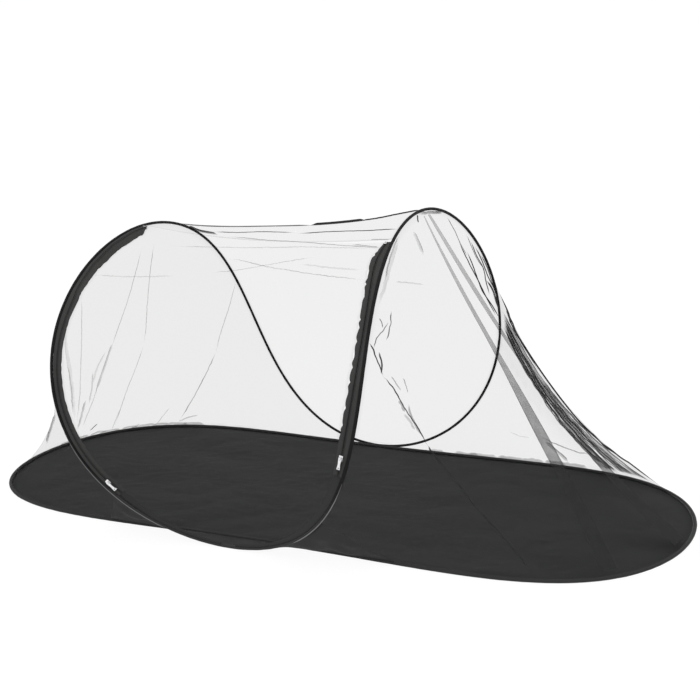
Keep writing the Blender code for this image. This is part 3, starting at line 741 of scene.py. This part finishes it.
# Dark lines along the roof's ridge: from and to a run from the right arch, width and layers
RIDGES = ((0.02, 0.28, 1.1, 5.0), (0.24, 0.46, 2.0, 7.0), (0.42, 0.98, 1.0, 3.4))
DOOR_FOLDS = {
    "under_ridge": (1.2, 1.3, 168, 246, 200, 247, 250, 248, 300, 247, 378, 249),
    "cross_down": (1.2, 1.5, 225, 258, 244, 261, 262, 266, 310, 274, 365, 280),
    "cross_up": (1.2, 1.2, 210, 273, 240, 270, 268, 265, 315, 257),
    "left_level": (1.6, 0.9, 94, 275, 120, 277, 150, 277, 176, 276),
    "slant": (2, 0.8, 300, 264, 330, 268, 362, 270),
}


def fold_grids(net, folds, near, seed=0.0, stand=0.35):
    """The raised folds of a net under each stroke of a set, on its near or its far side."""
    made = []
    for number, (width, layers, *marks) in enumerate(folds.values()):
        across, down = net.trace(np.reshape(marks, (-1, 2)), near)
        wide = width * PIXEL
        made.append(net.crease(across, down, wide, layers * FOLD_LAYERS, seed + number, height=stand * wide))
    return made


def end_surface(side, share, drop):
    """The net between an arch and the rim's end, at each share of the arch and drop to the rim.
    The left one sags in. The right one bellies out but for its back, where it is drawn in."""
    slant = END_SHEAR_SHARE * np.sin(pi * share) ** 4 if side > 0 else 0
    top = hoop_edge(side, share, rim(side, share - slant))
    low = rim_edge(side, share - slant, hoop(side, share))
    middle = np.sin(pi * share) ** 2
    if side > 0:
        drawn = np.exp(-(((share - DRAW_SHARE) / DRAW_SPREAD_SHARE) ** 2))
        bulge = RIGHT_END_BELLY * middle - RIGHT_END_DRAW * drawn
    else:
        bulge = -LEFT_END_SAG * middle
    wide, deep, fine, shallow = END_PLEATS
    pleat = deep * np.sin(TAU * wide * share) + shallow * np.sin(TAU * fine * share + 3 * drop)
    bulge = bulge + pleat * middle
    return mix(top, low, drop) + outward(side, share) * (bulge * bow(drop))[..., None]


def run_of(share):
    """Where a share of the arch is in the run of an end net."""
    start, end = END_NET_SHARES
    return (share - start) / (end - start)


def rim_ruffle(points, density, drop, seed):
    """Fullness along the rim, where the net is sewn in."""
    low = ease((drop - RUFFLE_SHARE) / (1 - RUFFLE_SHARE))
    wave = soft_noise(points, 0.030, seed)
    density = density + low * (0.4 + 0.8 * np.abs(wave))
    points = points.copy()
    points[..., 2] += bow(low) * RUFFLE_HEIGHT * wave
    return points, density


def rim_frills(net, first, last, count):
    """Slack puffs of net that stand up along the rim between two shares."""
    made = []
    t = np.linspace(-1, 1, 24)
    for number in range(count):
        loose = [wander(number * 3.3, kind, first * 9) for kind in (0.5, 3.5, 6.5)]
        half = (last - first) / count * (0.55 + 0.3 * loose[0])
        middle = first + (last - first) * (number + 0.5 + 0.4 * loose[1]) / count
        down = 0.998 - FRILL_HEIGHT * (1 + 0.8 * loose[2]) * (1 - t**2)
        run = run_of(middle + half * t)
        made.append(net.crease(run, down, FRILL_WIDTH, FRILL_LAYERS, number, 0.3, FRILL_LIFT))
    return made


def gather(net):
    """Threads of net drawn together behind the right arch, which spread again to the rim."""
    made = []
    down = np.linspace(0.03, 0.985, 90)
    for number in range(GATHER_THREADS):
        place = number / (GATHER_THREADS - 1)
        top, low = (a + (b - a) * place for a, b in (GATHER_TOP_SHARES, GATHER_LOW_SHARES))
        drift = np.array([wander(number * 5.1, d * 7, 2.0) for d in down]) * GATHER_DRIFT
        curve = GATHER_WANDER * wander(number * 3.7, 0, 0) * np.sin(pi * down)
        share = top + (low - top) * down + curve + drift
        # The mass thins to a few strands towards the rim beyond its lower edge
        loose = place > 0.62 and number % 3 == 1
        stop = 0.70 + 0.12 * wander(number * 2.3, 4.0, 0) if loose else 1.0
        begin = 0.0 if place < 0.7 or number % 2 else 0.35
        keep = (down <= stop) & (down >= begin)
        width = PIXEL * (1.3 + 2.2 * abs(wander(number * 1.9, 7.0, 0)) * 2)
        layers = 9.5 - 3.5 * place + 5.0 * wander(number * 4.3, 1.0, 0)
        height = 0.001 + 0.006 * abs(wander(number * 6.1, 3.0, 0))
        run = run_of(share[keep])
        made.append(net.crease(run, down[keep], width, layers, number, 0.5, height, fade=0.05))
    for start, end, shift, wide in GATHER_OUTLINE:
        across, drop = net.contour(*GATHER_TURN_SHARES, start, end)
        across = np.convolve(np.pad(across, 8, "edge"), np.ones(17) / 17, "valid") + shift
        made.append(net.crease(across, drop, wide * PIXEL, 14.0, 77.0 + start, 0.4, 1.1 * wide * PIXEL))
    return made


def end_net(side, near_folds, far_folds):
    """The net between an arch and the rim's end, with its folds and frills."""
    columns, rows = END_NET_GRIDS[side]
    share, drop = np.meshgrid(np.linspace(*END_NET_SHARES, columns), np.linspace(0, 1, rows))
    points = smooth = end_surface(side, share, drop)
    density = np.full(share.shape, END_NET_LAYERS[side])
    if side > 0:
        back = window(share, *SLACK_SHARES, SLACK_FADE_SHARE)
        loose = soft_noise(points, 0.03, 2.0)
        slack = SLACK_DEPTH * loose * back * bow(drop)
        points = points + outward(side, share) * slack[..., None]
        density += back * (0.8 + 0.8 * np.abs(loose)) * (1 - 0.5 * drop)
    points, density = rim_ruffle(points, density, drop, 11.0 * side)
    density += 0.8 * ease((0.02 - drop) / 0.02)
    net = Net(points, smooth)
    creases = fold_grids(net, near_folds, True, stand=0.8) + fold_grids(net, far_folds, False, 40.0)
    creases += rim_frills(net, *FRILL_SHARES[side])
    if side > 0:
        creases += gather(net)
    name = SIDES[side]
    body = f"{name}_half"
    pleats = piece(f"{name}_end_pleats", creases, "black_net", body)
    nodes = [f"{name}_end_net"]
    canopy = piece(f"{name}_end_canopy", points, "black_net", body, nodes, layers=density)
    declare_sheet(points)
    return net


def end_seam(number, net, top_share, low_share):
    """A flat band of doubled net on the right end net, from the arch's top to the rim."""
    down = np.linspace(0.012, 0.988, 130)
    middle = top_share + (low_share - top_share) * down
    width = SEAM_TOP_WIDTH + (SEAM_LOW_WIDTH - SEAM_TOP_WIDTH) * down ** SEAM_FLARES[number - 1]
    t = np.linspace(-0.5, 0.5, 13)
    share = middle[:, None] + width[:, None] * t / (2 * (RIGHT_HEIGHT + RIGHT_REACH))
    drop = down[:, None] * np.ones_like(t)
    points = net.at(net.points, run_of(share), drop) + outward(1, share) * SEAM_LIFT
    density = (0.66 + 0.36 * ease(down * 1.6))[:, None] * (1 + 0.12 * soft_noise(points, 0.02, 3.0))
    density[:, (0, -1)] += SEAM_EDGE_LAYERS
    name, nodes = f"end_band_{number}", [f"end_seam_{number}"]
    obj = piece(name, points, "doubled_net", "right_half", nodes, layers=density)
    declare_sheet(points)


# Zips


def on_line(points, share):
    """The place and direction at a share of a line of points."""
    last = len(points) - 1
    place = min(max(share * last, 0), last)
    i = min(int(place), last - 1)
    point = points[i].lerp(points[i + 1], place - i)
    near = points[max(i - 1, 0)].lerp(points[i], place - i)
    far = points[i + 1].lerp(points[min(i + 2, last)], place - i)
    return point, (far - near).normalized()


def square_to(direction, along):
    """The part of a direction that is square to another, at length 1."""
    return (direction - along * direction.dot(along)).normalized()


class ZipLine:
    """The line that a leg's zip follows: a true arc about the slider's hinge over its run."""

    def __init__(self, side):
        self.side = side
        self.low, self.rest, self.end, self.top = ZIP_SHARES[side]
        # The leg as the solids sample it, which the sliders' arcs are taken from
        self.leg = [Vector(p) for p in hoop(side, np.linspace(0, 1, HALF_STEPS + 1))]
        joint = next(j for j in frame["joints"] if j["name"] == f"{SIDES[side]}_zip_run")
        self.centre, self.axis = Vector(joint["pos_m"]), Vector(joint["axis"])
        if self.axis.x * side > 0:
            self.axis.negate()
        spot, _, across = self.free_frame((self.rest + self.end) / 2)
        away = spot - self.centre
        self.radius = away.length
        radial = square_to(away, self.axis)
        self.cant = atan2(across.dot(radial), across.dot(self.axis))

    def free_frame(self, share):
        point, along = on_line(self.leg, share)
        across = square_to(Vector((-self.side, 0, 0)), along)
        return point + across * ZIP_OFFSET, along, across

    def frame(self, share):
        """Place, direction up the leg, direction to the door and outward normal."""
        spot, along, across = self.free_frame(share)
        radial = square_to(spot - self.centre, self.axis)
        fade = (self.end - self.rest) / 3
        reach = fade / 6 + fade
        inside = float(window(share, self.rest - reach, self.end + reach, fade))
        spot = spot.lerp(self.centre + radial * self.radius, inside)
        arc_across = self.axis * cos(self.cant) + radial * sin(self.cant)
        arc_along = self.axis.cross(radial)
        if arc_along.dot(along) < 0:
            arc_along.negate()
        across = across.lerp(arc_across, inside).normalized()
        along = square_to(along.lerp(arc_along, inside), across)
        return spot, along, across, along.cross(across) * self.side


ZIPS = {side: ZipLine(side) for side in SIDES}


def zip_frames(side, shares):
    """The zip's places, directions, widths and normals at each share, as arrays."""
    frames = [ZIPS[side].frame(float(s)) for s in shares]
    return [np.array([f[i] for f in frames]) for i in range(4)]


def inner_edge(side, shares):
    """The door-side edge of the sill and of the tape above it, scalloped where it is gathered."""
    line = ZIPS[side]
    spot, _, across, _ = zip_frames(side, shares)
    taper = ease((line.top - shares) / TAPE_END_SHARES[side])
    on_tape = spot + across * (TAPE_FLAT + (TAPE_REACH - TAPE_FLAT) * taper)[:, None]
    on_tape[:, 2] -= TAPE_HANG[side] * taper * ease((shares - line.end) / 0.12)
    width = SILL_FOOT_WIDTH + (SILL_WIDTH - SILL_FOOT_WIDTH) * ease(shares / line.low)
    on_sill = hoop_edge(side, shares, spot) + across * width[:, None]
    edge = np.where((shares >= line.low)[:, None], on_tape, on_sill)
    turns = walked(spot) / PUCKER_LENGTH
    turns = turns + 0.35 * np.sin(turns * 2.3) + 0.2 * np.sin(turns * 5.1)
    scallop = np.abs(np.sin(pi * turns)) - 0.6
    free = taper * ease((shares - line.low) / 0.05)
    return edge + across * (PUCKER_DEPTHS[side] * scallop * free)[:, None]


def strip(name, first, second, normals, crown, waves, *look):
    """A strip of cloth or tape between two lines of points, crowned and waved a little."""
    t = np.linspace(0, 1, 9)
    points = mix(first[:, None], second[:, None], t)
    rise = crown * bow(t)
    if waves:
        rise = rise + waves * soft_noise(points, 0.024, len(name)) * t**2
    points = points + normals[:, None] * rise[..., None]
    obj = piece(name, points, *look, thickness=TAPE_THICKNESS)
    declare_sheet(points)


def coil_row(side, row, hand):
    """One row of the zip's coil: a rounded ridge with a groove between each two turns.
    The slider's neck runs in the slit between the two rows."""
    line, name = ZIPS[side], SIDES[side]
    shares = np.linspace(line.low, line.top, 1800)
    spot, _, across, normal = zip_frames(side, shares)
    tooth = 0.5 + 0.5 * np.cos(TAU * walked(spot) / COIL_PITCH + (pi if hand > 0 else 0))
    width = TEETH_WIDTH / 2
    points = []
    for angle in np.linspace(0, pi, 6):
        out = SLIT / 2 + width - width * cos(angle)
        rise = TAPE_THICKNESS / 2 + COIL_LIFT + COIL_HEIGHT * sin(angle) * (0.72 + 0.28 * tooth)
        points.append(spot + across * (hand * out) + normal * rise[:, None])
    points, nodes = np.stack(points, 1), [f"{name}_zip_{row}_teeth"]
    piece(f"{name}_{row}_coil", points, "zip_coil", f"{name}_half", nodes)


def zip_pieces(side):
    """A leg's two tapes and coils, and the guard sewn to the sleeve that lies behind the slit."""
    line, name = ZIPS[side], SIDES[side]
    body = f"{name}_half"
    shares = np.linspace(line.low, line.top, 420)
    spot, _, across, normal = zip_frames(side, shares)
    leg = hoop_edge(side, shares, spot)
    door = inner_edge(side, shares)
    for row, hand, edge, waves in (("hoop", -1, leg, 0.0), ("door", 1, door, TAPE_WAVES)):
        lip = spot + across * (hand * SLIT / 2)
        node = f"{name}_zip_{row}_tape"
        strip(f"{name}_{row}_strip", lip, edge, normal, TAPE_CROWN, waves, "zip_tape", body, [node])
    coil_row(side, "hoop", -1)
    coil_row(side, "door", 1)
    sewn = hoop(side, shares) + across * GUARD_START
    free = spot + across * GUARD_REACH
    points = np.stack([sewn, free], 1) - (normal * GUARD_DEPTHS[side])[:, None]
    guard = piece(f"{name}_zip_guard", points, "zip_tape", body, thickness=GUARD_THICKNESS)
    declare_sheet(points)


def sill_band(side):
    """The black band that carries on from the zip along the hoop's foot to the waist.
    Its end is tucked under the tapes."""
    name, low = SIDES[side], ZIPS[side].low
    tucked = low + SILL_TUCK * np.linspace(0.1, 1, 10)
    shares = np.append(np.linspace(SILL_START, low, SILL_STEPS), tucked)
    spot, _, _, normal = zip_frames(side, shares)
    start = hoop_edge(side, shares, spot)
    edge = inner_edge(side, np.minimum(shares, low - 1e-6))
    edge[SILL_STEPS:] = start[SILL_STEPS:] + (edge - start)[SILL_STEPS - 1]
    under = normal * (SILL_TUCK_DEPTH * ease((shares - low + SILL_TUCK) / SILL_TUCK))[:, None]
    strip(
        f"{name}_sill_cloth", start - under, edge - under, normal, SILL_CROWN, SILL_WAVES,
        "web_polyester", f"{name}_half", [f"door_sill_{name}"], "sheet_polyester",
    )


def front_web():
    """The black web between the hoop's foot and the rim, in one piece across the waist."""
    run = np.linspace(-END_NET_SHARES[0], END_NET_SHARES[0], 360)
    ends = []
    for place in run:
        side = 1 if place > 0 else -1
        share = np.array([max(abs(place), 1e-4)])
        top = hoop_edge(side, share, rim(side, share))[0]
        low = rim_edge(side, share, hoop(side, share))[0]
        ends.append((top, low))
    top, low = np.array(ends).swapaxes(0, 1)
    t = np.linspace(0, 1, 26)
    points = mix(top[:, None], low[:, None], t)
    tall = np.linalg.norm(top - low, axis=1)[:, None]
    slack = soft_noise(points, 0.05, 8.0) * WEB_SLACK_SHARE * tall * bow(t)
    points = points + grid_normals(points) * slack[..., None]
    obj = piece(
        "foot_web", points, "web_polyester", FOLD_REACH,
        ["front_web_right", "front_web_left"], "sheet_polyester", thickness=SHEET_THICKNESS,
    )
    declare_sheet(points)


def middle_net(name, edge_of, rows, sag, spread, hold, seed, folds, near, rims, ridges=()):
    """A net between the two arches, whose straight lines from right to left sag and ripple.
    Edge_of gives a side's shares and points from 0 to 1."""
    edges = {side: edge_of(side, ZIPS[side], np.linspace(0, 1, rows)) for side in SIDES}
    (shares, right), (left_shares, left) = edges[1], edges[-1]
    across, v = np.meshgrid(np.linspace(0, 1, 200), np.linspace(0, 1, rows))
    share = np.broadcast_to((shares / 2 + left_shares / 2)[:, None], v.shape)
    inward = np.stack([np.zeros_like(share), np.cos(pi * share), -np.sin(pi * share)], -1)
    ripple = MIDDLE_RIPPLE * np.sin(TAU * 2.5 * v + 2 * across)
    depth = bow(across) * (sag * np.sin(pi * share) + ripple)
    points = mix(right[:, None], left[:, None], across) + inward * depth[..., None]
    loose = window(across, 0, 1, 0.1) * ease(v / hold)
    wrinkle = MIDDLE_WRINKLE * soft_noise(points * np.array([spread, 1, 1]), 0.09, seed)
    points = points + grid_normals(points) * (wrinkle * loose)[..., None]
    density = MIDDLE_LAYERS + rims(v) + 1.2 * ease((np.abs(across - 0.5) - 0.488) / 0.012)
    net = Net(points)
    creases = fold_grids(net, folds, near, seed, 0.6 if ridges else 0.35)
    for start, end, width, layers in ridges:
        wide = width * PIXEL
        path = net.crest(start, end)
        creases.append(net.crease(*path, wide, layers * FOLD_LAYERS, seed + width, height=1.3 * wide))
    look = ("black_net", MIDDLE_FOLD_REACH)
    canopy = piece(f"{name}_canopy", points, *look, [f"{name}_net"], layers=density)
    pleats = piece(f"{name}_pleats", creases, *look)
    declare_sheet(points)


def door_canopy():
    """The net between the two zips."""

    def edge_of(side, line, v):
        first = SILL_START + (line.low - SILL_START) * 0.2
        shares = first + (line.top - first) * v
        return shares, inner_edge(side, shares) + zip_frames(side, shares)[2] * SEW_GAP

    middle_net(
        "door", edge_of, 260, DOOR_SAG, spread=0.35, hold=0.05, seed=21.0,
        folds=DOOR_FOLDS, near=None, rims=np.zeros_like,
    )


def roof_canopy():
    """The net from the ridge between the arches' tops down to the back low point."""

    def edge_of(side, line, v):
        start = line.top + RIDGE_GAP_SHARE
        shares = start + (ROOF_END_SHARE - start) * v
        return shares, hoop_edge(side, shares, hoop(side, shares) + np.array([-side, 0, 0]))

    def rims(v):
        return 2.0 * ease((0.006 - v) / 0.006) + 1.5 * ease((v - 0.97) / 0.03)

    middle_net(
        "roof", edge_of, 340, ROOF_SAG, spread=0.3, hold=0.03, seed=33.0,
        folds=ROOF_FOLDS, near=False, rims=rims, ridges=RIDGES,
    )


def hoop_sleeve():
    """The black sleeve round the whole hoop in one piece, paler where it lies on the foot web: partly the foot
    cloth's tone, partly painted light against the shade on the foot.
    """
    run = np.linspace(0, 2, TUBE_STEPS)
    points = tube_points(hoop_run(run), SLEEVE_RADIUS, TUBE_SIDES, TUBE_WOBBLE, 4.0)
    points[-1] = points[0]
    away = np.minimum(run, 2 - run)
    foot = ease((SLEEVE_FOOT_SHARES[1] - away) / (SLEEVE_FOOT_SHARES[1] - SLEEVE_FOOT_SHARES[0]))
    nodes = ["hoop_sleeve_right", "hoop_sleeve_left"]
    look = ("sleeve_polyester", FOLD_REACH)
    piece("hoop_cover", points, *look, nodes, closed=True, layers=foot[:, None])


def sleeve_painted_highlight(side):
    """The pale cord along the outer seam of the sleeve on a front leg, a painted highlight."""
    name = SIDES[side]
    start, end = PAINTED_HIGHLIGHT_SHARES[side]
    share = np.linspace(start, end, 160)
    line = hoop(side, share)
    out = square(PAINTED_HIGHLIGHT_SIDE * np.array([side, 1, 1]), heading(lambda s: hoop(side, s), share))
    ends = ease((share - start) / 0.01) * ease((end - share) / 0.03)
    line = line + out * (SLEEVE_RADIUS + PAINTED_HIGHLIGHT_RADIUS * 0.3)
    points = tube_points(line, (0.3 + 0.7 * ends)[:, None, None] * PAINTED_HIGHLIGHT_RADIUS, 8)
    piece(f"{name}_piping", points, "piping", f"{name}_half", (), "sleeve_polyester", closed=True)


def rim_painted_highlight():
    """The pale cord inside the hem round the bed's right end, a painted highlight."""
    turn = RIM_FRONT + (RIM_BACK - RIM_FRONT) * np.linspace(*RIM_PAINTED_HIGHLIGHT_SHARES, 160)
    line = rim_turn(turn) + rim_inward(turn) * HEM_RADIUS
    ends = np.sin(np.linspace(0, pi, len(turn))) ** 0.5
    points = tube_points(line, (0.2 + 0.8 * ends)[:, None, None] * PAINTED_HIGHLIGHT_RADIUS * 0.7, 8)
    piece("rim_painted_highlight", points, "piping", "right_half", (), "hem_binding", closed=True)


def rim_binding():
    """The hem round the rim wire, in one piece."""
    line = rim_turn(np.linspace(0, 2, TUBE_STEPS))
    points = tube_points(line, HEM_RADIUS * 0.96, TUBE_SIDES, TUBE_WOBBLE, 9.0)
    points[-1] = points[0]
    points[..., 2] = np.maximum(points[..., 2], 0.0)
    nodes = ["rim_hem_right", "rim_hem_left"]
    piece("rim_binding", points, "hem_binding", FOLD_REACH, nodes, closed=True)


def ground_cloth():
    """The whole ground sheet in one piece, nearly flat, with the slack that folding leaves."""
    rings, columns = 110, 480
    turn = np.linspace(0, 2, columns, endpoint=False)
    edge = rim_turn(turn) + rim_inward(turn) * (HEM_RADIUS * 0.2)
    share = np.linspace(0, 1, rings)[:, None]
    points = mix(edge * np.array([SHEET_SPINE_SHARE, 0, 0]), edge[None], share)
    flat = points * np.array([1, 1, 0])
    wave = sum(np.abs(soft_noise(flat, size, seed)) * height for size, seed, height in SHEET_WAVES)
    drape = ease((1 - share) / SHEET_EDGE_SHARE)
    # A pleat on the right of the waist keeps the bend above the ground as the tent folds
    ahead = np.clip((points[..., 0] - WAIST_X) / FOLD_REACH, 0, 1)
    pleat = FOLD_REACH * sin(FOLD_ANGLE) * ahead * (1 - ahead) / 2
    pleat = pleat * ease((1 - share) / PLEAT_EDGE_SHARE)
    points[..., 2] = SHEET_THICKNESS / 2 + np.maximum(wave * drape, pleat)
    obj = piece(
        "ground_cloth", points, "sheet_polyester", FOLD_REACH,
        ["ground_sheet_right", "ground_sheet_left"], closed=True, thickness=SHEET_THICKNESS,
    )


# Every CAD node gets the procedural material of its slot
for part in frame["record"]["subparts"]:
    part_materials = frame["nodes"][part["node"]].data.materials
    part_materials.clear()
    part_materials.append(MATERIALS[part["material_slot"]])

ground_cloth()
rim_binding()
rim_painted_highlight()
hoop_sleeve()
right = end_net(1, RIGHT_END_FOLDS, {})
end_net(-1, LEFT_NEAR_FOLDS, LEFT_END_FOLDS)
for number, shares in enumerate(SEAM_SHARES, 1):
    end_seam(number, right, *shares)
front_web()
for side in SIDES:
    sill_band(side)
    zip_pieces(side)
    sleeve_painted_highlight(side)
door_canopy()
roof_canopy()

# Studio: a white floor and world, three soft lights and the photo's camera
scene = bpy.context.scene
scene.view_settings.view_transform = "Standard"
world = bpy.data.worlds.new("studio")
world.use_nodes = True
set_inputs(world.node_tree.nodes["Background"], {"Color": (1, 1, 1, 1), "Strength": WORLD_STRENGTH})
scene.world = world

floor_nodes = Nodes("studio_floor", grey(FLOOR_GREY), 1.0, specular=0.0)
set_inputs(floor_nodes.shader, {"Emission Color": (1, 1, 1, 1), "Emission Strength": FLOOR_GLOW})
mesh = bpy.data.meshes.new("studio_floor")
turn = np.linspace(0, TAU, 64, endpoint=False)
circle = np.stack([np.cos(turn), np.sin(turn), 0 * turn], -1) * FLOOR_RADIUS
mesh.from_pydata(circle.tolist(), [], [range(64)])
mesh.materials.append(floor_nodes.material)
placed("studio_floor", mesh, (0, 0, -FLOOR_DROP))

for name, place, size, power in LIGHTS:
    light = bpy.data.lights.new(name, "AREA")
    light.shape, light.size, light.energy = "DISK", size, power
    placed(name, light, place, TARGET - Vector(place))

camera = bpy.data.cameras.new("photo_camera")
camera.sensor_width = SENSOR_MM
camera.sensor_fit = "HORIZONTAL"
camera.lens = FOCAL_PX / IMAGE_PX * SENSOR_MM
scene.camera = placed("photo_camera", camera, VIEW_POINT, -VIEW_BACK)
